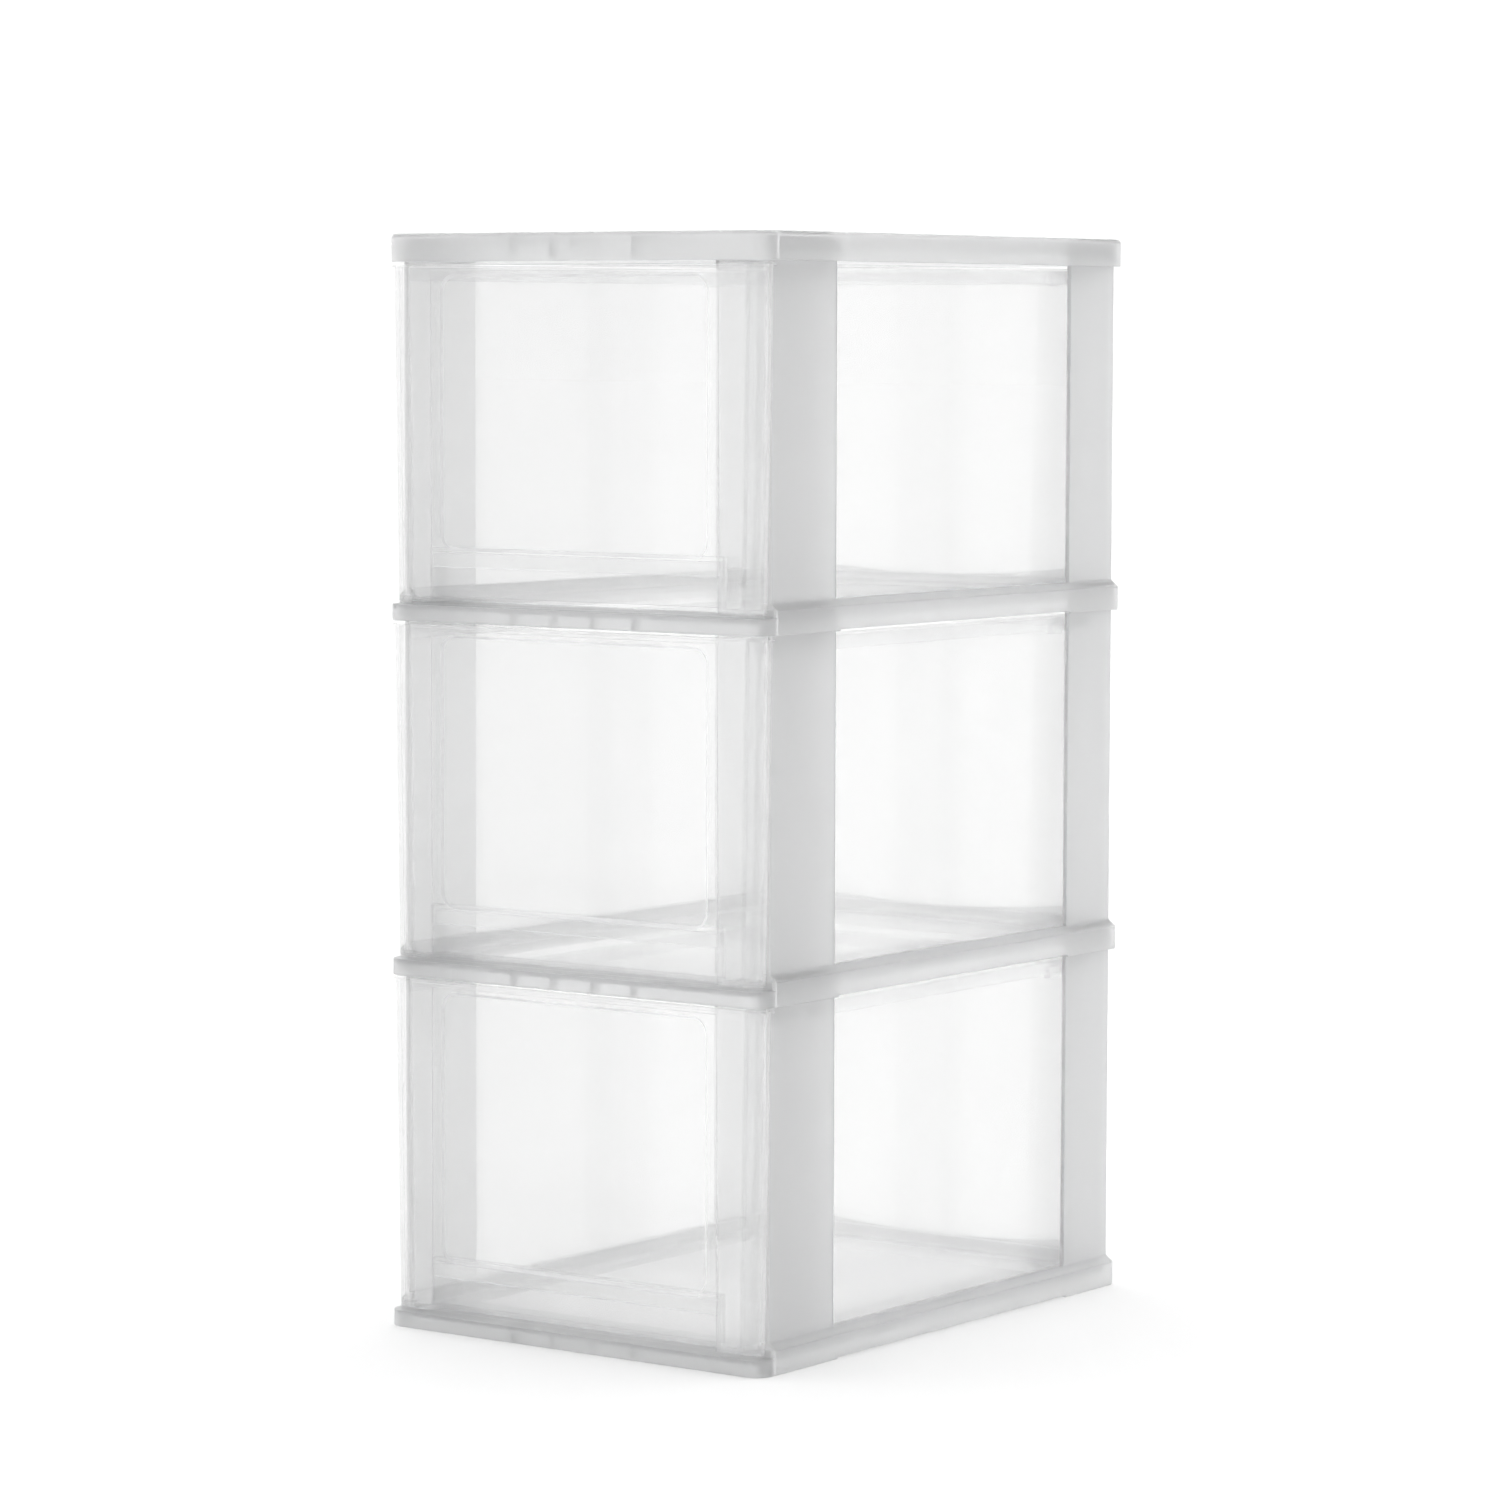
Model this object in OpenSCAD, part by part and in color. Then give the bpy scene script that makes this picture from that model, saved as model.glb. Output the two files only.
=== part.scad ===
// Plastic drawer tower for craft supplies: three interlocking frames, a snap-on
// cover and three clear drawers that slide out to the front.
// Millimetres, +Z up, front towards -Y, origin at the middle of the underside.

/* [Size] */
// Overall width over the bases and the cover
body_w = 196; // [180:1:220]
// Overall depth over the bases and the cover
body_d = 270; // [250:1:300]
// Height of one frame from seam to seam
module_h = 149.4; // [130:0.2:180]
// Height of the cover
cover_h = 11.8; // [11.6:0.1:14]
// Plan radius of the corners
corner_r = 8; // [7:0.5:10]

/* [Frame] */
// Thickness of the side walls and rear returns
wall_t = 2; // [1.6:0.1:2.2]
// Thickness of the base skirt
skirt_t = 1.8; // [1.4:0.1:2]
// Width of each front post along the side
front_post = 45; // [32:1:60]
// Width of each rear post along the side
rear_post = 38; // [26:1:50]
// Width of the rear return of each rear post
rear_return = 20; // [12:1:32]
// Height of the front band of the base
band_h = 7; // [7:0.1:7.8]
// Rise of the rear rail from its middle to its ends
rail_rise = 5; // [2:0.5:8]
// Width of the floor ledge on each side of the opening in the base
floor_ledge = 10; // [10:1:30]

/* [Drawer] */
// Wall thickness of the drawers
tub_t = 1.8; // [1.4:0.1:2.2]
// Reach of the rim beyond the side walls of the drawer box
rim_reach = 3.5; // [3.5:0.5:6]
// Draft of each side of the drawer box over its height
tub_draft = 1.7; // [0.5:0.1:2.5]
// Draft of each side of the drawer front over its height
front_draft = 2.4; // [1:0.1:3]
// Gap between the closed drawer and the rear returns
rear_gap = 8; // [6:1:30]
// Distance from the side of the drawer box to the end of the finger pull
pull_inset = 14.5; // [14.5:0.5:38]
// Depth of the hooked lip of the finger pull
lip_h = 8; // [6:0.5:10]

/* [Hidden] */
$fn = 64;

sx = body_w / 2;
sy = body_d / 2;
step = 3;                       // how far the walls stand in from the skirt
shoulder_z = 10;                // top of the pocket in a base
sill_z = 13;                    // top of the side rails
tongue = 10;                    // how far the posts reach into the piece above
wx = sx - step;                 // outer face of the walls
wy = sy - step;
post_y0 = -sy + 9.5;            // front edge of the front posts
post_y1 = post_y0 + front_post;
rpost_y0 = wy - rear_post;
web_x = wx - wall_t - 0.4;      // outer face of the inner web
web_y = wy - wall_t - 0.4;
web_t = 1.6;
plate_z = 5;                    // underside of the base floor
plate_t = 2;
open_y0 = -sy + 35;
open_y1 = sy - 12;
runner_h = 0.8;
floor_open = web_x - web_t - floor_ledge;  // half width of the opening in the floor
rail_r = (pow(wx - rear_return, 2) + rail_rise * rail_rise) / (2 * rail_rise);

db = 8.4;                       // underside of a drawer
rim_z = module_h - 2.2;         // underside of the drawer rim
rim_t = 1.1;
face_y = -sy + 1.5;             // drawer front
sink = 0.3;                     // how far the middle of the front stands back
front_half = sx - 1.6;          // drawer front at the rim
return_y = -sy + 8.5;           // rear edge of the front's side returns
rim_half = wx - wall_t - 1;     // outer edge of the side rims
tub_half = rim_half - rim_reach; // outer face of the drawer box at its rim
tub_rear = wy - wall_t - rear_gap;
tub_y1 = tub_rear - 3.5;
hook_y = min(rpost_y0 - 11, tub_rear - 18);  // front face of the stop hooks
pull_half = tub_half - pull_inset;
pull_y = face_y + 6.5;
pull_z = 23;
panel_h = rim_z - 4.2 - pull_z - lip_h;
front_a = atan(front_draft / (rim_z - db));

// rounded rectangle
module rrect(w, d, r) {
    square([w - 2 * r, d], center = true);
    square([w, d - 2 * r], center = true);
    for (i = [-1, 1], j = [-1, 1])
        translate([i * (w / 2 - r), j * (d / 2 - r)]) circle(r);
}

// band between two rounded rectangles that share their corner centres
module ring(inset, t) {
    difference() {
        rrect(body_w - 2 * inset, body_d - 2 * inset, corner_r - inset);
        rrect(body_w - 2 * (inset + t), body_d - 2 * (inset + t),
              max(corner_r - inset - t, 0.6));
    }
}

// inner web of a pocket, its corners clear of the tongues
module web_ring() {
    difference() {
        rrect(2 * web_x, 2 * web_y, max(corner_r - step - wall_t - 0.4, 0.6));
        rrect(2 * (web_x - web_t), 2 * (web_y - web_t), max(corner_r - step - wall_t - 0.4 - web_t, 0.6));
    }
}

// outline from the front edge y0 backwards
module behind(y0) { translate([-sx - 1, y0]) square([body_w + 2, body_d]); }

// slab whose four sides lean in by `inset`
module leaning_slab(h, inset) {
    r = corner_r;
    rotate([90, 0, 0]) linear_extrude(body_d - 2 * r, center = true)
        polygon([[-sx, 0], [sx, 0], [sx - inset, h], [-sx + inset, h]]);
    rotate([90, 0, 90]) linear_extrude(body_w - 2 * r, center = true)
        polygon([[-sy, 0], [sy, 0], [sy - inset, h], [-sy + inset, h]]);
    for (i = [-1, 1], j = [-1, 1])
        translate([i * (sx - r), j * (sy - r), 0]) cylinder(h = h, r1 = r, r2 = r - inset);
}

// opening in the base floor: tight corners in front, wide ones behind
module floor_opening() {
    rf = 12;
    rb = 30;
    h = floor_open;
    polygon([[-h, open_y0 + rf], [-h + rf, open_y0], [h - rf, open_y0], [h, open_y0 + rf],
             [h, open_y1 - rb], [h - rb, open_y1], [-h + rb, open_y1], [-h, open_y1 - rb]]);
    for (i = [-1, 1]) {
        translate([i * (h - rf), open_y0 + rf]) circle(rf);
        translate([i * (h - rb), open_y1 - rb]) circle(rb);
    }
}

// one frame: base with skirt and floor, side posts, rear returns and rear rail
module frame() {
    top = module_h + tongue;
    difference() {
        union() {
            // skirt, lower part all round, upper part from the posts backwards
            linear_extrude(band_h) ring(0, skirt_t);
            linear_extrude(shoulder_z) intersection() { ring(0, skirt_t); behind(post_y0); }
            // shoulder that closes the pocket
            difference() {
                translate([0, 0, shoulder_z]) leaning_slab(sill_z - shoulder_z, step);
                translate([0, 0, shoulder_z - 1]) linear_extrude(sill_z)
                    square([2 * (web_x - web_t), 2 * (web_y - web_t)], center = true);
                translate([-sx - 1, -sy - 1, 0]) cube([body_w + 2, post_y0 + sy + 1, 20]);
            }
            // inner web of the pocket
            translate([0, 0, plate_z]) linear_extrude(shoulder_z - plate_z + 0.5)
                intersection() {
                    web_ring();
                    behind(post_y0);
                }
            // floor with its opening
            translate([0, 0, plate_z]) linear_extrude(plate_t) difference() {
                union() {
                    translate([-web_x + 0.5, post_y0 - 1.8])
                        square([2 * web_x - 1, web_y - post_y0 + 1.3]);
                    translate([-sx + corner_r, -sy + 0.5]) square([body_w - 2 * corner_r, 9]);
                    translate([-sx + 0.5, -sy + corner_r]) square([body_w - 1, 1]);
                }
                floor_opening();
            }
            // end walls of the pockets
            for (i = [-1, 1])
                translate([i * (sx - 4.2) - 3.2, post_y0 - 1.8, 0]) cube([6.4, 1.5, band_h]);
            // short ribs behind the front band
            for (x = [-31.5, -10.5, 10.5, 31.5])
                translate([x - 0.7, -sy + 1, 0.8]) cube([1.4, 5, plate_z]);
            // runners under the drawer
            for (i = [-1, 1])
                translate([i * (floor_open + 0.8) - 0.8, open_y0 + 12, plate_z + plate_t - 0.5])
                    cube([1.6, open_y1 - open_y0 - 42, runner_h + 0.5]);
            // posts and rear returns
            translate([0, 0, shoulder_z]) linear_extrude(top - shoulder_z) intersection() {
                ring(step, wall_t);
                union() {
                    translate([-sx, post_y0]) square([body_w, front_post]);
                    for (i = [-1, 1]) translate([i * (sx - (rear_return + step) / 2), sy - (rear_post + step) / 2])
                        square([rear_return + step, rear_post + step], center = true);
                }
            }
            // rear rail with its hollow top edge
            difference() {
                translate([-wx + 6, wy - wall_t, shoulder_z])
                    cube([2 * wx - 12, wall_t, sill_z - shoulder_z + rail_rise]);
                translate([0, 0, sill_z + rail_r]) rotate([90, 0, 0])
                    cylinder(h = 4 * sy, r = rail_r, center = true, $fn = 256);
            }
        }
        // relief under the side rails between the posts
        for (i = [-1, 1])
            translate([i * sx - 6, post_y1 - 1, -1]) cube([12, rpost_y0 - post_y1 - 2, 1.8]);
        // shallow margin along the front edge of the front posts
        for (i = [-1, 1])
            translate([i * wx - 0.2, post_y0 - 1, sill_z + 2]) cube([0.4, 11, module_h - sill_z - 3]);
        // clipped top corners of the tongues
        for (y = [post_y0, post_y1])
            translate([0, y, top]) rotate([45, 0, 0]) cube([body_w, 5.6, 5.6], center = true);
        translate([0, rpost_y0, top]) rotate([45, 0, 0]) cube([body_w, 5.6, 5.6], center = true);
        for (i = [-1, 1]) translate([i * (wx - rear_return), wy, top]) rotate([0, 45, 0])
            cube([5.6, 12, 5.6], center = true);
    }
}

// cover: rim, plate with a rounded edge, webs that hold the posts, stiffening ribs
module cover() {
    e = 1;
    r = corner_r;
    plate = cover_h - tongue;
    linear_extrude(cover_h - e) ring(0, skirt_t);
    translate([0, 0, tongue]) linear_extrude(plate - e) rrect(body_w, body_d, r);
    translate([0, 0, cover_h - e]) linear_extrude(e) rrect(body_w - 2 * e, body_d - 2 * e, r - e);
    for (i = [-1, 1]) {
        translate([i * (sx - e), 0, cover_h - e]) rotate([90, 0, 0])
            cylinder(h = body_d - 2 * r, r = e, center = true, $fn = 32);
        translate([0, i * (sy - e), cover_h - e]) rotate([0, 90, 0])
            cylinder(h = body_w - 2 * r, r = e, center = true, $fn = 32);
        for (j = [-1, 1]) translate([i * (sx - r), j * (sy - r), cover_h - e])
            rotate_extrude() intersection() {
                union() { translate([r - e, 0]) circle(e, $fn = 32); square([r - e, e]); }
                square([r, e]);
            }
    }
    // webs
    translate([0, 0, 4]) linear_extrude(tongue - 4 + 0.5) intersection() {
        web_ring();
        behind(post_y0);
    }
    // long ribs and the short ones behind the front of the rim
    for (i = [-1, 0, 1]) translate([i * 31.5 - 0.7, -sy + 1, 6])
        cube([1.4, sy + web_y - 1.5, tongue - 6 + 0.5]);
    for (i = [-1, 1]) for (x = [10.5, 31.5]) translate([i * x - 0.7, -sy + 1, 2])
        cube([1.4, 5, tongue - 2 + 0.5]);
}

// one step of a rounded corner as points
function arc(cx, cz, r, a0, a1, n) =
    [for (k = [0 : n]) let (a = a0 + (a1 - a0) * k / n) [cx + r * cos(a), cz + r * sin(a)]];

// cross-section of the drawer box, `t` inside its outer face
module tub_section(t) {
    b = tub_half - tub_draft - t;
    u = tub_half - t;
    r = 4.5 - t;
    polygon(concat(
        [[u, rim_z + rim_t + (t > 0 ? 5 : 0)]], [[-u, rim_z + rim_t + (t > 0 ? 5 : 0)]],
        arc(-b + r, db + t + r, r, 180, 270, 8),
        arc(b - r, db + t + r, r, 270, 360, 8)));
}

// plan with square front corners and round rear corners
module tub_plan(half, y0, y1, r) {
    translate([-half, y0]) square([2 * half, y1 - y0 - r]);
    translate([-half + r, y0]) square([2 * half - 2 * r, y1 - y0]);
    for (i = [-1, 1]) translate([i * (half - r), y1 - r]) circle(r);
}

module tub_solid(t) {
    intersection() {
        translate([0, tub_y1, 0]) rotate([90, 0, 0]) linear_extrude(tub_y1 - face_y) tub_section(t);
        linear_extrude(module_h + 20) tub_plan(tub_half + 2 - t, face_y + sink + t, tub_y1 - t, 6 - t);
    }
}

// side of the drawer front that wraps round to the returns, leaning with the draft
module front_side(t) {
    r = 5 - t;
    translate([front_half - front_draft, 0, db]) rotate([0, front_a, 0]) translate([0, 0, -10])
        linear_extrude(module_h + 20) {
            translate([-60, face_y + t]) square([60 - 5, 20]);
            translate([-60, face_y + 5]) square([60 - t, 15]);
            translate([-5, face_y + 5]) circle(r);
        }
}

module drawer() {
    difference() {
        union() {
            // box
            difference() {
                tub_solid(0);
                tub_solid(tub_t);
            }
            // wrapped sides of the front
            for (m = [0, 1]) mirror([m, 0, 0]) difference() {
                intersection() {
                    front_side(0);
                    translate([pull_half + 0.3, face_y - 1, db]) cube([60, return_y - face_y + 1, rim_z - db + 0.5]);
                }
                intersection() {
                    front_side(tub_t);
                    translate([pull_half - 1, face_y, db + tub_t]) cube([60, 20, rim_z]);
                }
            }
            // rim: flange over the front, round the sides and the rear
            translate([0, 0, rim_z]) linear_extrude(rim_t) difference() {
                union() {
                    intersection() {
                        rrect(body_w, body_d, corner_r);
                        translate([-sx, -sy - 1]) square([body_w, return_y + sy + 1]);
                    }
                    tub_plan(rim_half, return_y - 1, tub_rear, 8);
                }
                tub_plan(tub_half - tub_t, face_y + tub_t, tub_y1 - tub_t, 6 - tub_t);
            }
            // downturned edge of the rim
            translate([0, 0, rim_z - 5.6]) linear_extrude(5.6 + rim_t) difference() {
                tub_plan(rim_half, return_y + 1, tub_rear, 8);
                tub_plan(rim_half - 1.2, return_y, tub_rear - 1.2, 6.8);
            }
            // stop hooks on the side rims, which meet the rear edges of the front posts
            for (i = [-1, 1]) translate([i * (rim_half + 0.3) - 1.5, hook_y, rim_z - 6.8])
                cube([3, 8, 5]);
            // walls of the finger pull inside the box
            intersection() {
                translate([0, 0, db]) linear_extrude(pull_z + lip_h - db)
                    translate([0, pull_y - 13]) rrect(2 * (pull_half + tub_t), 26 + 2 * tub_t, 5.8);
                translate([-sx, face_y + sink + 0.2, 0]) cube([body_w, 40, 60]);
            }
        }
        // finger pull: hollow behind the lip, open to the front and underneath
        difference() {
            translate([0, 0, db - 1]) linear_extrude(pull_z + lip_h - tub_t - db + 1)
                translate([0, pull_y - 13]) rrect(2 * pull_half, 26, 4);
            translate([-sx, face_y - 20, pull_z]) cube([body_w, 20 + sink + tub_t, lip_h + 2]);
        }
        // sunk panel in the front
        translate([0, face_y + 0.8, pull_z + lip_h + panel_h / 2]) rotate([90, 0, 0]) linear_extrude(2)
            rrect(2 * (pull_half - 6), panel_h, 5);
    }
}

module top_cover() { color([0.88, 0.89, 0.9]) translate([0, 0, 3 * module_h]) cover(); }
module frame_upper() { color([0.86, 0.87, 0.88]) translate([0, 0, 2 * module_h]) frame(); }
module frame_middle() { color([0.86, 0.87, 0.88]) translate([0, 0, module_h]) frame(); }
module frame_lower() { color([0.86, 0.87, 0.88]) frame(); }
module drawer_upper() { color([0.94, 0.96, 0.97]) translate([0, 0, 2 * module_h]) drawer(); }
module drawer_middle() { color([0.94, 0.96, 0.97]) translate([0, 0, module_h]) drawer(); }
module drawer_lower() { color([0.94, 0.96, 0.97]) drawer(); }

top_cover();
frame_upper();
frame_middle();
frame_lower();
drawer_upper();
drawer_middle();
drawer_lower();
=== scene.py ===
import math

import bmesh
import bpy
from mathutils import Matrix, Vector


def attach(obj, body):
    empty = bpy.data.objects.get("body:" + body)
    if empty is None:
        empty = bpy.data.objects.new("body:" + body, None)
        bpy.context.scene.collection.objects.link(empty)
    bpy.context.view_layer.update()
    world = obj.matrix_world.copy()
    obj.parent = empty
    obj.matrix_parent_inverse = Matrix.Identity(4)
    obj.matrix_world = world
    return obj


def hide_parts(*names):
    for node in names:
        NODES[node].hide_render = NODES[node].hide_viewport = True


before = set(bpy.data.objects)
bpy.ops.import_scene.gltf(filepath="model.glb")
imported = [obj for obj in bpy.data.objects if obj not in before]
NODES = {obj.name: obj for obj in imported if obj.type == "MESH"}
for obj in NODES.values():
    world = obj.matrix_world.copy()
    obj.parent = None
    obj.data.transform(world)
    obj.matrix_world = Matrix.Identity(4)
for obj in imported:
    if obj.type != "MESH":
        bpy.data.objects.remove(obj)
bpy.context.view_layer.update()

SC = bpy.context.scene
COL = SC.collection
PITCH_Z = 149.4                      # seam to seam, mm


# ---------------------------------------------------------------- solids, in millimetres
def make(verts, faces):
    me = bpy.data.meshes.new("tmp")
    me.from_pydata([tuple(v) for v in verts], [], [tuple(f) for f in faces])
    me.validate()
    o = bpy.data.objects.new("tmp", me)
    COL.objects.link(o)
    return o


def loft(sections):
    """closed solid through rings of 3D points, every ring with the same count, counter-clockwise seen from the end"""
    n = len(sections[0])
    verts = [p for s in sections for p in s]
    faces = [list(range(n))[::-1], [(len(sections) - 1) * n + i for i in range(n)]]
    for k in range(len(sections) - 1):
        for i in range(n):
            j = (i + 1) % n
            faces.append([k * n + i, k * n + j, (k + 1) * n + j, (k + 1) * n + i])
    return make(verts, faces)


def prism(pts, z0, z1):
    return loft([[(x, y, z0) for x, y in pts], [(x, y, z1) for x, y in pts]])


def prism_y(pts, y0, y1):
    """pts are (x, z), counter-clockwise seen from the front"""
    return loft([[(x, y1, z) for x, z in pts], [(x, y0, z) for x, z in pts]])


def prism_x(pts, x0, x1):
    """pts are (y, z), counter-clockwise seen from +X"""
    return loft([[(x0, y, z) for y, z in pts], [(x1, y, z) for y, z in pts]])


def block(x0, x1, y0, y1, z0, z1):
    return prism([(x0, y0), (x1, y0), (x1, y1), (x0, y1)], z0, z1)


def arc(cx, cy, r, a0, a1, n):
    return [(cx + r * math.cos(math.radians(a0 + (a1 - a0) * k / n)), cy + r * math.sin(math.radians(a0 + (a1 - a0) * k / n))) for k in range(n + 1)]


def rrect(w, d, r, n=20, cx=0.0, cy=0.0):
    out = []
    for sx, sy, a in ((1, -1, -90), (1, 1, 0), (-1, 1, 90), (-1, -1, 180)):
        out += arc(cx + sx * (w / 2 - r), cy + sy * (d / 2 - r), r, a, a + 90, n)
    return out


def boolean(a, b, kind):
    m = a.modifiers.new("b", "BOOLEAN")
    m.operation = kind
    m.solver = "MANIFOLD"
    m.object = b
    dg = bpy.context.evaluated_depsgraph_get()
    me = bpy.data.meshes.new_from_object(a.evaluated_get(dg))
    a.modifiers.remove(m)
    old = a.data
    a.data = me
    bpy.data.meshes.remove(old)
    data = b.data
    bpy.data.objects.remove(b)
    bpy.data.meshes.remove(data)
    if len(me.polygons) == 0:
        raise RuntimeError("an empty solid came out of a boolean")
    return a


def add(a, *bs):
    for b in bs:
        a = boolean(a, b, "UNION")
    return a


def cut(a, *bs):
    for b in bs:
        a = boolean(a, b, "DIFFERENCE")
    return a


def keep(a, b):
    return boolean(a, b, "INTERSECT")


def ring(inset, t, z0, z1, n=20):
    o = prism(rrect(196 - 2 * inset, 270 - 2 * inset, max(8 - inset, 0.6), n), z0, z1)
    i = prism(rrect(196 - 2 * (inset + t), 270 - 2 * (inset + t), max(8 - inset - t, 0.6), n), z0 - 1, z1 + 1)
    return cut(o, i)


# ---------------------------------------------------------------- drawer
FACE, RET = -133.5, -126.5
DB, RIM, RT = 8.4, 147.2, 1.1


def tub_ring(half, y0, y1, r, z, n=12):
    return [(x, y, z) for x, y in [(-half, y0), (half, y0)] + arc(half - r, y1 - r, r, 0, 90, n) + arc(-half + r, y1 - r, r, 90, 180, n)]


def tub(t, top):
    """box with draft, round rear corners and a round lower edge along the sides and the rear"""
    rings = []
    rb = 4.5 - t
    zb = DB + t
    b, u = 88.5 - 1.7 - t, 88.5 - t
    slope = (u - b) / (RIM + RT - DB)
    for k in range(9):
        a = math.radians(90 * k / 8)
        inset = rb * (1 - math.sin(a))
        z = zb + rb * (1 - math.cos(a))
        rr = max(6 - t - inset, 0.9)
        rings.append(tub_ring(b + slope * (z - DB) - inset, FACE + t, 118.5 - t - inset * 0.85, rr, z))
    rings.append(tub_ring(b + slope * (top - DB), FACE + t, 118.5 - t, 6 - t, top))
    return loft(rings)


def front_side(side, t, y1, z0, z1):
    def section(z):
        x1 = 94.0 + 2.4 * (z - DB) / (RIM - DB) - t
        r = 5 - t
        pts = [(60, FACE + t)] + arc(x1 - r, FACE + 5, r, -90, 0, 14) + [(x1, y1), (60, y1)]
        pts = [(side * x, y, z) for x, y in pts]
        return pts if side > 0 else pts[::-1]
    return loft([section(z0), section(z1)])


def plan_u(half, y0, y1, r, z0, z1, n=12):
    return loft([tub_ring(half, y0, y1, r, z, n) for z in (z0, z1)])


def build_drawer():
    d = tub(0, RIM + RT - 0.3)
    d = cut(d, tub(1.8, RIM + 12))
    for s in (1, -1):
        ear = front_side(s, 0, RET, DB, RIM + 0.4)
        hollow = front_side(s, 1.8, RET + 12, DB + 1.8, RIM + 12)
        lim = block(86.2 if s > 0 else -120, 120 if s > 0 else -86.2, FACE - 1, 0, DB + 1.7, RIM + 20)
        ear = cut(ear, keep(hollow, lim))
        ear = keep(ear, block(84.5 if s > 0 else -120, 120 if s > 0 else -84.5, -200, RET, 0, 200))
        d = add(d, ear)
    # rim
    flange = prism(rrect(196, 270, 8, 20), RIM, RIM + RT)
    flange = keep(flange, block(-120, 120, -140, RET, 0, 300))
    flange = add(flange, plan_u(92, RET - 1, 122, 8, RIM, RIM + RT))
    flange = add(flange, cut(plan_u(92, RET + 1, 122, 8, RIM - 5.6, RIM + 0.6), plan_u(90.8, RET, 120.8, 6.8, RIM - 7, RIM + 2)))
    d = add(d, flange)
    # walls of the finger pull
    pull = prism(rrect(151.6, 29.6, 5.8, 12, 0, -140), DB, 31)
    pull = keep(pull, block(-120, 120, FACE, -100, 0, 60))
    d = add(d, pull)
    # one cut clears everything above the inside of the box
    d = cut(d, cut(tub(1.8, RIM + 12), prism(rrect(151.6, 29.6, 5.8, 12, 0, -140), 0, 31)))
    for s in (1, -1):
        x = s * 92.3
        d = add(d, block(x - 1.5, x + 1.5, 83, 91, RIM - 6.8, RIM - 1.8))
    hollow = prism(rrect(148, 26, 4, 12, 0, -140), DB - 1, 29.2)
    hollow = cut(hollow, block(-120, 120, -170, FACE + 1.8, 23, 60))
    d = cut(d, hollow)
    # shallow steps in the front
    d = cut(d, block(-74, 74, FACE - 1, FACE + 0.3, 0, RIM - 1.4))
    wide, narrow = rrect(138.4, 114.4, 7.2, 10, 0, 87), rrect(136.0, 112.0, 6.0, 10, 0, 87)
    d = cut(d, loft([[(x, FACE + 0.95, z) for x, z in narrow], [(x, FACE + 0.3, z) for x, z in wide], [(x, FACE - 1, z) for x, z in wide]]))
    return d


# ---------------------------------------------------------------- frame
def floor_opening(z0, z1):
    pts = arc(69, -88, 12, -90, 0, 12) + arc(51, 93, 30, 0, 90, 20) + arc(-51, 93, 30, 90, 180, 20) + arc(-69, -88, 12, 180, 270, 12)
    return prism(pts, z0, z1)


def behind(y, z0=-50, z1=300):
    return block(-150, 150, y, 200, z0, z1)


POST0, POST1, REAR0 = -125.5, -80.5, 94.0


def build_frame():
    f = ring(0, 1.8, 0, 7)
    f = add(f, keep(ring(0, 1.8, 0, 10.2), behind(POST0)))
    n = 20
    slab = loft([[(x, y, 10) for x, y in rrect(196, 270, 8, n)], [(x, y, 13) for x, y in rrect(190, 264, 5, n)]])
    slab = cut(slab, block(-91, 91, -200, 128, 0, 50))
    f = add(f, keep(slab, behind(POST0)))
    web = cut(prism(rrect(185.2, 259.2, 2.6, 8), 5, 10.5), prism(rrect(182, 256, 1.0, 8), 0, 20))
    f = add(f, keep(web, behind(POST0)))
    plate = block(-92.1, 92.1, -127.3, 129.1, 5, 7)
    plate = add(plate, keep(prism(rrect(195, 269, 7.5, n), 5, 7), block(-150, 150, -200, -126, 0, 20)))
    f = add(f, plate)
    f = cut(f, floor_opening(0, 20))
    for x in (-31.5, -10.5, 10.5, 31.5):
        f = add(f, block(x - 0.7, x + 0.7, -134, -129, 0.8, 5.8))
    for s in (1, -1):
        x = s * 93.8
        f = add(f, block(x - 3.2, x + 3.2, -127.3, -125.8, 0, 7))
        x = s * 94.2
        f = add(f, block(x - 2.4, x + 2.4, -126.0, -124.9, 6.6, 10.4))
        x = s * 81.8
        f = add(f, block(x - 0.8, x + 0.8, -88, 93, 6.5, 7.8))
    walls = ring(3, 2, 10, 159.4)
    sel = block(-150, 150, POST0, POST1, 0, 300)
    sel = add(sel, block(75, 150, REAR0, 200, 0, 300), block(-150, -75, REAR0, 200, 0, 300))
    f = add(f, keep(walls, sel))
    r = (75 ** 2 + 5 ** 2) / 10.0
    a = math.degrees(math.asin(89.5 / r))
    top = [(r * math.sin(math.radians(t)), 13 + r - r * math.cos(math.radians(t))) for t in [a - 2 * a * k / 48 for k in range(49)]]
    rail = prism_y([(-89.5, 10.0), (89.5, 10.0)] + [(x, min(z, 18.0)) for x, z in top], 130, 132)
    f = add(f, rail)
    for s in (1, -1):
        x = s * 98
        f = cut(f, block(x - 6, x + 6, POST1 - 1, REAR0 - 3, -1, 0.8))
    for y, d in ((POST0, 1), (POST1, -1), (REAR0, 1)):
        w = 4.0
        tri = [(y - d * 1, 159.4 - w - 1), (y + d * (w + 1), 160.4 + 0.0), (y - d * 1, 160.4)]
        if d > 0:
            tri = tri[::-1]
        tri = [(y - d, 159.4 - w - 1), (y + d * (w + 1), 161.4 - 1), (y - d, 160.4)]
        tri = tri if d > 0 else tri[::-1]
        f = cut(f, prism_x(tri, -120, 120))
    for s in (1, -1):
        x = s * 75
        tri = [(x - s, 159.4 - 5), (x + s * 5, 160.4), (x - s, 160.4)]
        tri = tri if s > 0 else tri[::-1]
        f = cut(f, prism_y(tri, 120, 140))
    return f


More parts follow.
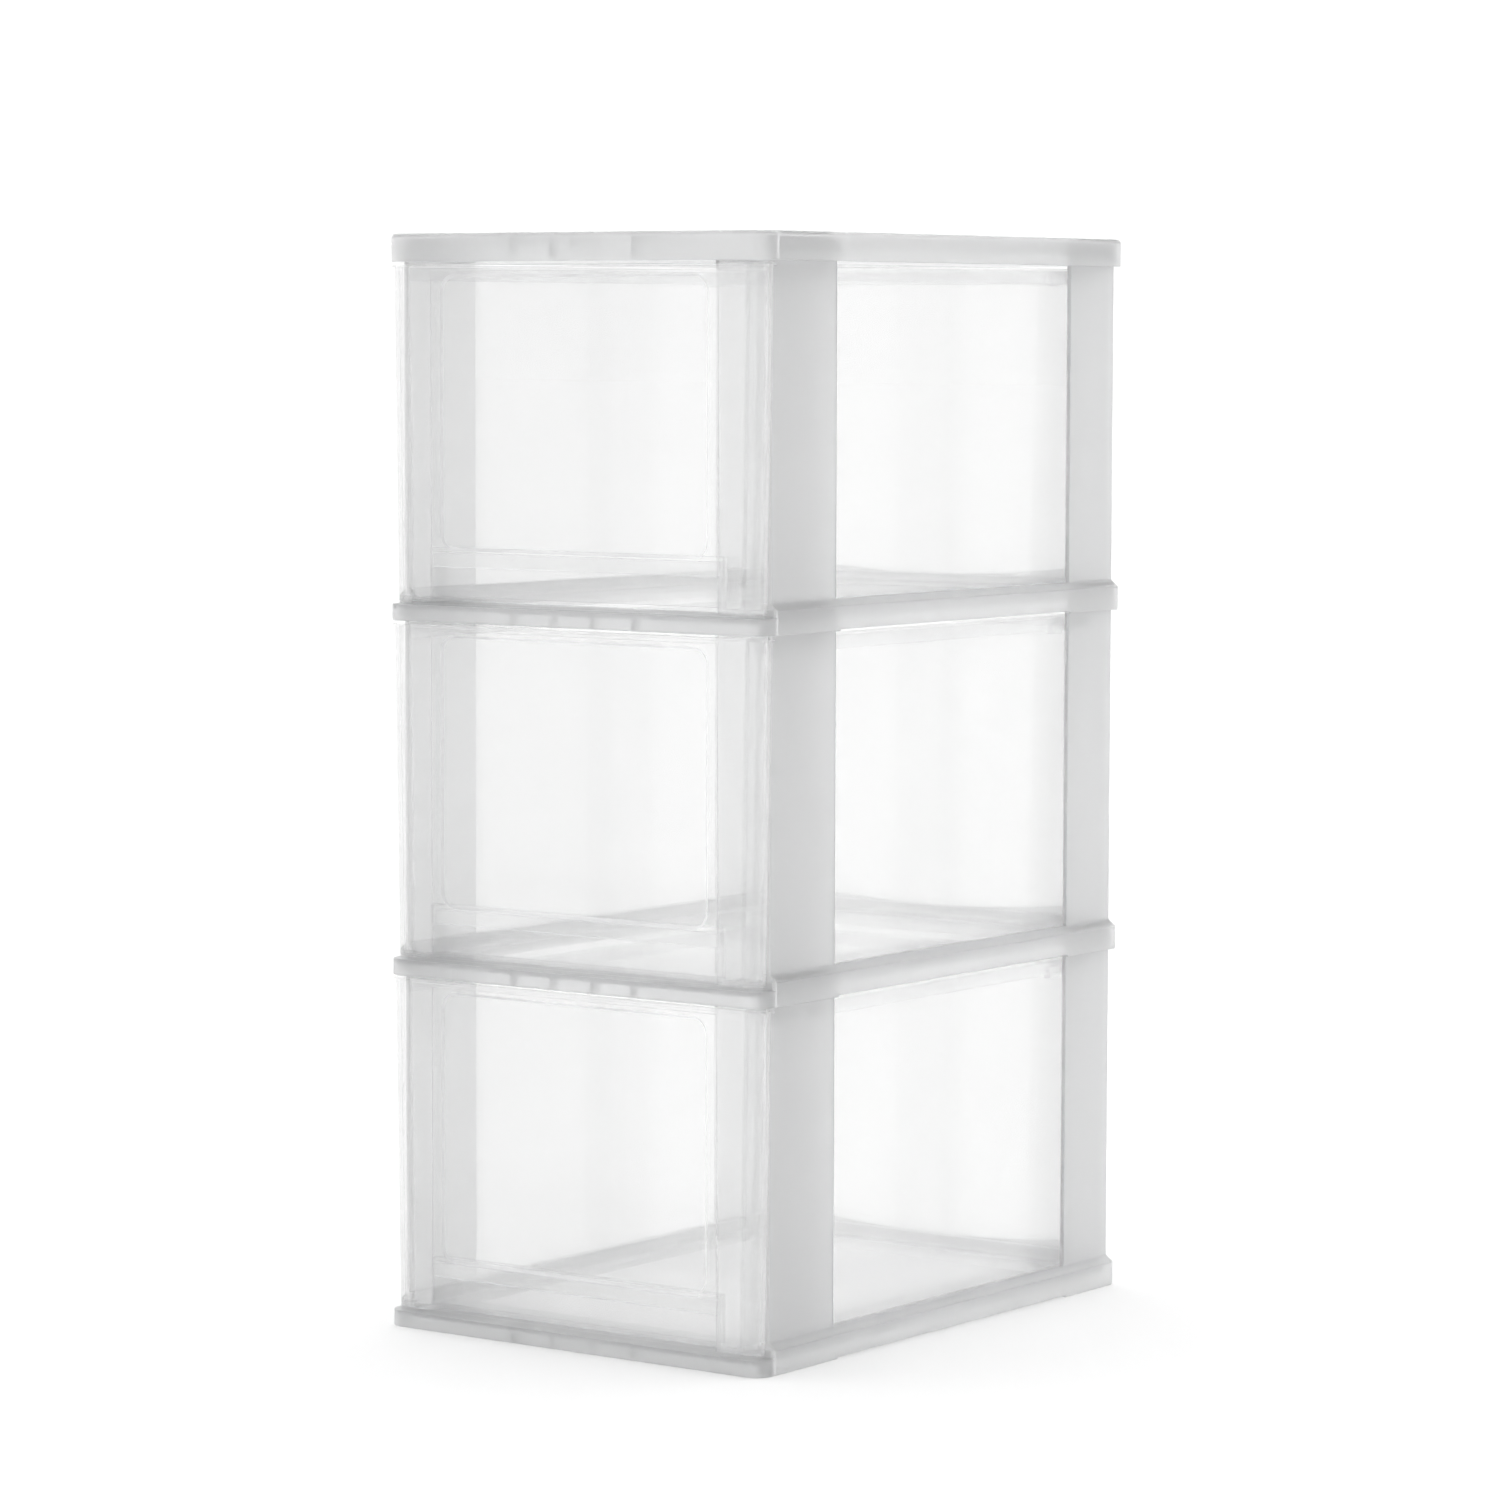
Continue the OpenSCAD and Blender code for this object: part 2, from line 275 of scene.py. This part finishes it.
# ---------------------------------------------------------------- cover
def build_cover():
    n = 20
    secs = []
    for k in range(9):
        a = math.radians(90 * k / 8)
        inset = 1.8 * (1 - math.cos(a))
        secs.append([(x, y, 10 + 1.8 * math.sin(a)) for x, y in rrect(196 - 2 * inset, 270 - 2 * inset, 8 - inset, n)])
    c = loft([[(x, y, 0) for x, y in rrect(196, 270, 8, n)]] + secs)
    c = cut(c, prism(rrect(192.4, 266.4, 6.2, n), -1, 10))
    web = cut(prism(rrect(185.2, 259.2, 2.6, 8), 4, 10.5), prism(rrect(182, 256, 1.0, 8), 0, 20))
    c = add(c, keep(web, behind(POST0)))
    for x in (-31.5, 0, 31.5):
        c = add(c, block(x - 0.7, x + 0.7, -134, 129, 6, 10.5))
    for x in (-31.5, -10.5, 10.5, 31.5):
        c = add(c, block(x - 0.7, x + 0.7, -134, -129, 2, 10.5))
    return c


# ---------------------------------------------------------------- finish of a mesh
def tidy(o, name, bevel):
    """metres, rounded edges, and normals that stay flat on flat faces"""
    w = o.modifiers.new("weld", "WELD")
    w.merge_threshold = 0.002
    d = o.modifiers.new("planar", "DECIMATE")
    d.decimate_type = "DISSOLVE"
    d.angle_limit = math.radians(0.15)
    if bevel:
        b = o.modifiers.new("bevel", "BEVEL")
        b.limit_method = "ANGLE"
        b.angle_limit = math.radians(40)
        b.width = bevel
        b.segments = 2
        b.use_clamp_overlap = False
        b.miter_outer = "MITER_SHARP"
    dg = bpy.context.evaluated_depsgraph_get()
    me = bpy.data.meshes.new_from_object(o.evaluated_get(dg))
    bpy.data.objects.remove(o)
    bm = bmesh.new()
    bm.from_mesh(me)
    bmesh.ops.scale(bm, vec=(0.001, 0.001, 0.001), verts=bm.verts)
    bmesh.ops.triangulate(bm, faces=[f for f in bm.faces if len(f.verts) > 4], ngon_method="BEAUTY")
    bm.faces.ensure_lookup_table()
    bm.normal_update()
    # connected faces that lie in one plane
    group, area = {}, []
    for f in bm.faces:
        if f.index in group:
            continue
        g = len(area)
        area.append(0.0)
        stack = [f]
        group[f.index] = g
        while stack:
            q = stack.pop()
            area[g] += q.calc_area()
            for e in q.edges:
                for h in e.link_faces:
                    if h.index not in group and h.normal.dot(f.normal) > 0.9999985:
                        group[h.index] = g
                        stack.append(h)
    for f in bm.faces:
        f.smooth = True
    for e in bm.edges:
        if len(e.link_faces) != 2:
            e.smooth = False
            continue
        a, b = e.link_faces
        ga, gb = area[group[a.index]], area[group[b.index]]
        if group[a.index] == group[b.index]:
            e.smooth = True
        elif a.normal.dot(b.normal) < math.cos(math.radians(50)) or max(ga, gb) > 6 * min(ga, gb):
            e.smooth = False
    bm.to_mesh(me)
    bm.free()
    me.name = name
    return me


# ---------------------------------------------------------------- materials
def new_material(name):
    m = bpy.data.materials.new(name)
    m.use_nodes = True
    nt = m.node_tree
    nt.nodes.clear()
    out = nt.nodes.new("ShaderNodeOutputMaterial")
    bsdf = nt.nodes.new("ShaderNodeBsdfPrincipled")
    nt.links.new(bsdf.outputs["BSDF"], out.inputs["Surface"])
    return m, nt, bsdf, out


def noise(nt, scale, detail, stretch=(1, 1, 1), rough=0.5):
    tc = nt.nodes.new("ShaderNodeTexCoord")
    mp = nt.nodes.new("ShaderNodeMapping")
    mp.inputs["Scale"].default_value = stretch
    n = nt.nodes.new("ShaderNodeTexNoise")
    n.inputs["Scale"].default_value = scale
    n.inputs["Detail"].default_value = detail
    n.inputs["Roughness"].default_value = rough
    nt.links.new(tc.outputs["Object"], mp.inputs["Vector"])
    nt.links.new(mp.outputs["Vector"], n.inputs["Vector"])
    return n.outputs["Fac"]


def ranged(nt, value, lo, hi, a=0.3, b=0.7):
    r = nt.nodes.new("ShaderNodeMapRange")
    r.inputs["From Min"].default_value = a
    r.inputs["From Max"].default_value = b
    r.inputs["To Min"].default_value = lo
    r.inputs["To Max"].default_value = hi
    nt.links.new(value, r.inputs["Value"])
    return r.outputs["Result"]


def bump(nt, bsdf, layers):
    """layers: (height output, strength, distance in metres)"""
    normal = None
    for h, strength, dist in layers:
        b = nt.nodes.new("ShaderNodeBump")
        b.inputs["Strength"].default_value = strength
        b.inputs["Distance"].default_value = dist
        nt.links.new(h, b.inputs["Height"])
        if normal is not None:
            nt.links.new(normal, b.inputs["Normal"])
        normal = b.outputs["Normal"]
    nt.links.new(normal, bsdf.inputs["Normal"])


def tinted(nt, bsdf, value, c0, c1):
    r = nt.nodes.new("ShaderNodeValToRGB")
    r.color_ramp.elements[0].position = 0.32
    r.color_ramp.elements[0].color = (*c0, 1)
    r.color_ramp.elements[1].position = 0.68
    r.color_ramp.elements[1].color = (*c1, 1)
    nt.links.new(value, r.inputs["Fac"])
    nt.links.new(r.outputs["Color"], bsdf.inputs["Base Color"])


def graded(nt, p, fy0, fy1, fz0, fz1):
    """painted light: the moulding is lighter towards its rear, where the bright backdrop shines through it, and darker
    towards its front; it is also lighter in its base than in its posts
    """
    colour = p.inputs["Base Color"].links[0].from_socket
    tc = nt.nodes.new("ShaderNodeTexCoord")
    sep = nt.nodes.new("ShaderNodeSeparateXYZ")
    nt.links.new(tc.outputs["Object"], sep.inputs[0])
    mul = nt.nodes.new("ShaderNodeMath")
    mul.operation = "MULTIPLY"
    nt.links.new(ranged(nt, sep.outputs["Y"], fy0, fy1, -0.13, 0.13), mul.inputs[0])
    nt.links.new(ranged(nt, sep.outputs["Z"], fz0, fz1, 0.008, 0.018), mul.inputs[1])
    sc = nt.nodes.new("ShaderNodeVectorMath")
    sc.operation = "SCALE"
    nt.links.new(colour, sc.inputs[0])
    nt.links.new(mul.outputs["Value"], sc.inputs["Scale"])
    nt.links.new(sc.outputs["Vector"], p.inputs["Base Color"])


def product(nt, *values):
    out = values[0]
    for v in values[1:]:
        m = nt.nodes.new("ShaderNodeMath")
        m.operation = "MULTIPLY"
        nt.links.new(out, m.inputs[0])
        nt.links.new(v, m.inputs[1])
        out = m.outputs["Value"]
    return out


def milky(name, c0, c1, transmission, r0, r1, alpha, grade):
    """satin translucent polypropylene with faint flow clouds from the mould"""
    m, nt, p, out = new_material(name)
    tinted(nt, p, noise(nt, 14.0, 4.0, (1, 1, 0.45)), c0, c1)
    # painted light: lighter towards the rear and darker towards the front of the moulding, plus a lighter base
    graded(nt, p, *grade)
    nt.links.new(ranged(nt, noise(nt, 60.0, 5.0), r0, r1), p.inputs["Roughness"])
    p.inputs["IOR"].default_value = 1.49
    # the narrow front edges of the posts scatter the light that the walls let through
    tc = nt.nodes.new("ShaderNodeTexCoord")
    sep = nt.nodes.new("ShaderNodeSeparateXYZ")
    nt.links.new(tc.outputs["Object"], sep.inputs[0])
    edge = product(nt, ranged(nt, sep.outputs["Y"], 0.0, 1.0, -0.1262, -0.1259), ranged(nt, sep.outputs["Y"], 1.0, 0.0, -0.1252, -0.1249))
    nt.links.new(ranged(nt, edge, transmission, 0.15, 0.0, 1.0), p.inputs["Transmission Weight"])
    p.inputs["Alpha"].default_value = alpha
    bump(nt, p, [(noise(nt, 22.0, 2.0, (1, 1, 0.5)), 0.12, 0.0006), (noise(nt, 2600.0, 2.0), 0.10, 0.00006)])
    return m


def edges(nt, lo, hi):
    """0 on the flat walls, 1 on the sloped steps, rounded edges and corners of a moulding"""
    g = nt.nodes.new("ShaderNodeNewGeometry")
    sep = nt.nodes.new("ShaderNodeSeparateXYZ")
    nt.links.new(g.outputs["True Normal"], sep.inputs[0])
    top = None
    for axis in "XYZ":
        m = nt.nodes.new("ShaderNodeMath")
        m.operation = "ABSOLUTE"
        nt.links.new(sep.outputs[axis], m.inputs[0])
        if top is None:
            top = m.outputs["Value"]
            continue
        b = nt.nodes.new("ShaderNodeMath")
        b.operation = "MAXIMUM"
        nt.links.new(top, b.inputs[0])
        nt.links.new(m.outputs["Value"], b.inputs[1])
        top = b.outputs["Value"]
    return ranged(nt, top, 1.0, 0.0, lo, hi)


def painted_line_mask(nt):
    """painted shade lines: 1 along the steps, the lip and the rim of the drawer front, where the bent light shows as
    dark lines
    """
    tc = nt.nodes.new("ShaderNodeTexCoord")
    sep = nt.nodes.new("ShaderNodeSeparateXYZ")
    nt.links.new(tc.outputs["Object"], sep.inputs[0])
    side = nt.nodes.new("ShaderNodeMath")
    side.operation = "ABSOLUTE"
    nt.links.new(sep.outputs["X"], side.inputs[0])
    return product(nt, edges(nt, 0.90, 0.985), ranged(nt, sep.outputs["Y"], 1.0, 0.0, -0.1316, -0.1314),
                   ranged(nt, side.outputs["Value"], 1.0, 0.0, 0.086, 0.087), ranged(nt, sep.outputs["Z"], 0.0, 1.0, 0.0088, 0.0094))


def clear(name, c0, c1, transmission, r0, r1, a0, a1, blend, edge):
    """glossy clear plastic with a slight haze, denser where it is seen edge-on; the steps, lip and rim of its front
    are made nearly opaque as painted shade lines
    """
    m, nt, p, out = new_material(name)
    tinted(nt, p, noise(nt, 9.0, 3.0), c0, c1)
    nt.links.new(ranged(nt, noise(nt, 45.0, 4.0), r0, r1), p.inputs["Roughness"])
    p.inputs["IOR"].default_value = 1.49
    p.inputs["Transmission Weight"].default_value = transmission
    lw = nt.nodes.new("ShaderNodeLayerWeight")
    lw.inputs["Blend"].default_value = blend
    haze = nt.nodes.new("ShaderNodeMix")
    nt.links.new(painted_line_mask(nt), haze.inputs["Factor"])
    nt.links.new(ranged(nt, lw.outputs["Facing"], a0, a1, 0.0, 1.0), haze.inputs["A"])
    # painted shade lines: the alpha along the steps, lip and rim of the drawer front
    haze.inputs["B"].default_value = edge
    nt.links.new(haze.outputs["Result"], p.inputs["Alpha"])
    bump(nt, p, [(noise(nt, 16.0, 2.0, (1, 1, 0.6)), 0.012, 0.0004)])
    return m


# the last four numbers are the grade: painted light from front to rear, then the tone of the base and of the posts
M_FRAME = milky("frame_plastic", (0.91, 0.913, 0.916), (0.94, 0.942, 0.944), 0.78, 0.34, 0.46, 1.0, (0.95, 1.05, 1.06, 0.96))
M_COVER = milky("cover_plastic", (0.955, 0.958, 0.96), (0.985, 0.986, 0.987), 0.85, 0.34, 0.46, 1.0, (1.0, 1.0, 1.0, 1.0))
M_DRAWER = clear("drawer_plastic", (0.95, 0.952, 0.955), (0.98, 0.982, 0.985), 0.6, 0.1, 0.16, 0.26, 0.35, 0.5, 0.8)

# ---------------------------------------------------------------- build and place
MESH = {"drawer": tidy(build_drawer(), "drawer_mesh", 0.3), "frame": tidy(build_frame(), "frame_mesh", 0.35),
        "cover": tidy(build_cover(), "cover_mesh", 0.35)}
for key, material in (("drawer", M_DRAWER), ("frame", M_FRAME), ("cover", M_COVER)):
    MESH[key].materials.clear()
    MESH[key].materials.append(material)
    for p in MESH[key].polygons:
        p.material_index = 0


def place(name, key, node, body, z):
    o = bpy.data.objects.new(name, MESH[key].copy())
    o.location = (0, 0, z)
    COL.objects.link(o)
    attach(o, body)
    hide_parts(node)
    return o


for k, level in enumerate(("lower", "middle", "upper")):
    z = k * PITCH_Z / 1000
    place("drawer_look_" + level, "drawer", "drawer_" + level, level + "_drawer", z)
    place("frame_look_" + level, "frame", "frame_" + level, "tower", z)
place("cover_look", "cover", "top_cover", "tower", 3 * PITCH_Z / 1000)


# ---------------------------------------------------------------- stage
def plane(name, w, d, loc):
    me = bpy.data.meshes.new(name)
    me.from_pydata([(-w, -d, 0), (w, -d, 0), (w, d, 0), (-w, d, 0)], [], [(0, 1, 2, 3)])
    o = bpy.data.objects.new(name, me)
    o.location = loc
    COL.objects.link(o)
    return o


floor = plane("floor", 30.0, 30.0, (0, 0, -0.0002))
mf, ntf, pf, _ = new_material("floor_white")
pf.inputs["Base Color"].default_value = (0.93, 0.93, 0.93, 1)
pf.inputs["Roughness"].default_value = 0.9
pf.inputs["Specular IOR Level"].default_value = 0.1
pf.inputs["Emission Color"].default_value = (1.0, 1.0, 1.0, 1)
pf.inputs["Emission Strength"].default_value = 0.18
floor.data.materials.append(mf)

world = bpy.data.worlds.new("studio")
SC.world = world
world.use_nodes = True
wnt = world.node_tree
bg = wnt.nodes["Background"]
bg.inputs["Color"].default_value = (1.0, 1.0, 1.0, 1)
wtc = wnt.nodes.new("ShaderNodeTexCoord")
wdot = wnt.nodes.new("ShaderNodeVectorMath")
wdot.operation = "DOT_PRODUCT"
wdot.inputs[1].default_value = (0.587, -0.81, 0.0)
wmap = wnt.nodes.new("ShaderNodeMapRange")
wmap.interpolation_type = "SMOOTHSTEP"
wmap.inputs["From Min"].default_value = -0.2
wmap.inputs["From Max"].default_value = 1.0
wmap.inputs["To Min"].default_value = 1.12
wmap.inputs["To Max"].default_value = 0.25
wnt.links.new(wtc.outputs["Generated"], wdot.inputs[0])
wnt.links.new(wdot.outputs["Value"], wmap.inputs["Value"])
wsep = wnt.nodes.new("ShaderNodeSeparateXYZ")
wnt.links.new(wtc.outputs["Generated"], wsep.inputs[0])
wup = wnt.nodes.new("ShaderNodeMapRange")
wup.inputs["From Min"].default_value = 0.0
wup.inputs["From Max"].default_value = 1.0
wup.inputs["To Min"].default_value = 1.0
wup.inputs["To Max"].default_value = 1.2
wnt.links.new(wsep.outputs["Z"], wup.inputs["Value"])
wmul = wnt.nodes.new("ShaderNodeMath")
wmul.operation = "MULTIPLY"
wnt.links.new(wmap.outputs["Result"], wmul.inputs[0])
wnt.links.new(wup.outputs["Result"], wmul.inputs[1])
wnt.links.new(wmul.outputs["Value"], bg.inputs["Strength"])



def area(name, loc, look, w, h, watts, colour=(1, 1, 1)):
    li = bpy.data.lights.new(name, "AREA")
    li.shape = "RECTANGLE"
    li.size, li.size_y = w, h
    li.energy = watts
    li.color = colour
    o = bpy.data.objects.new(name, li)
    o.location = loc
    o.rotation_euler = (Vector(look) - Vector(loc)).to_track_quat("-Z", "Y").to_euler()
    COL.objects.link(o)
    return o


area("side", (0.9, 0.9, 0.8), (0.1, 0.1, 0.25), 0.5, 0.9, 0.15)

# ---------------------------------------------------------------- camera
F, YAW, PITCH, ROLL = 5272.3, math.radians(-36.0612), math.radians(4.6019), math.radians(0.1545)
C = Vector((1.3248, -1.8286, 0.4222))
fwd = Vector((math.sin(YAW) * math.cos(PITCH), math.cos(YAW) * math.cos(PITCH), -math.sin(PITCH)))
right = Vector((math.cos(YAW), -math.sin(YAW), 0))
up = right.cross(fwd)
r2 = right * math.cos(ROLL) + up * math.sin(ROLL)
u2 = -right * math.sin(ROLL) + up * math.cos(ROLL)
cam_data = bpy.data.cameras.new("camera")
cam_data.sensor_fit = "HORIZONTAL"
cam_data.sensor_width = 36.0
cam_data.lens = F / 1500.0 * 36.0
cam_data.clip_start = 0.05
cam_data.clip_end = 200.0
cam = bpy.data.objects.new("camera", cam_data)
cam.matrix_world = Matrix(((r2.x, u2.x, -fwd.x, C.x), (r2.y, u2.y, -fwd.y, C.y), (r2.z, u2.z, -fwd.z, C.z), (0, 0, 0, 1)))
COL.objects.link(cam)
SC.camera = cam

SC.view_settings.view_transform = "Standard"
SC.view_settings.look = "None"
SC.view_settings.exposure = 0.0
SC.cycles.max_bounces = 40
SC.cycles.transmission_bounces = 36
SC.cycles.transparent_max_bounces = 24
SC.cycles.glossy_bounces = 14
SC.cycles.diffuse_bounces = 7
SC.cycles.use_denoising = True
SC.cycles.caustics_refractive = True
SC.cycles.caustics_reflective = True
SC.cycles.blur_glossy = 0.3

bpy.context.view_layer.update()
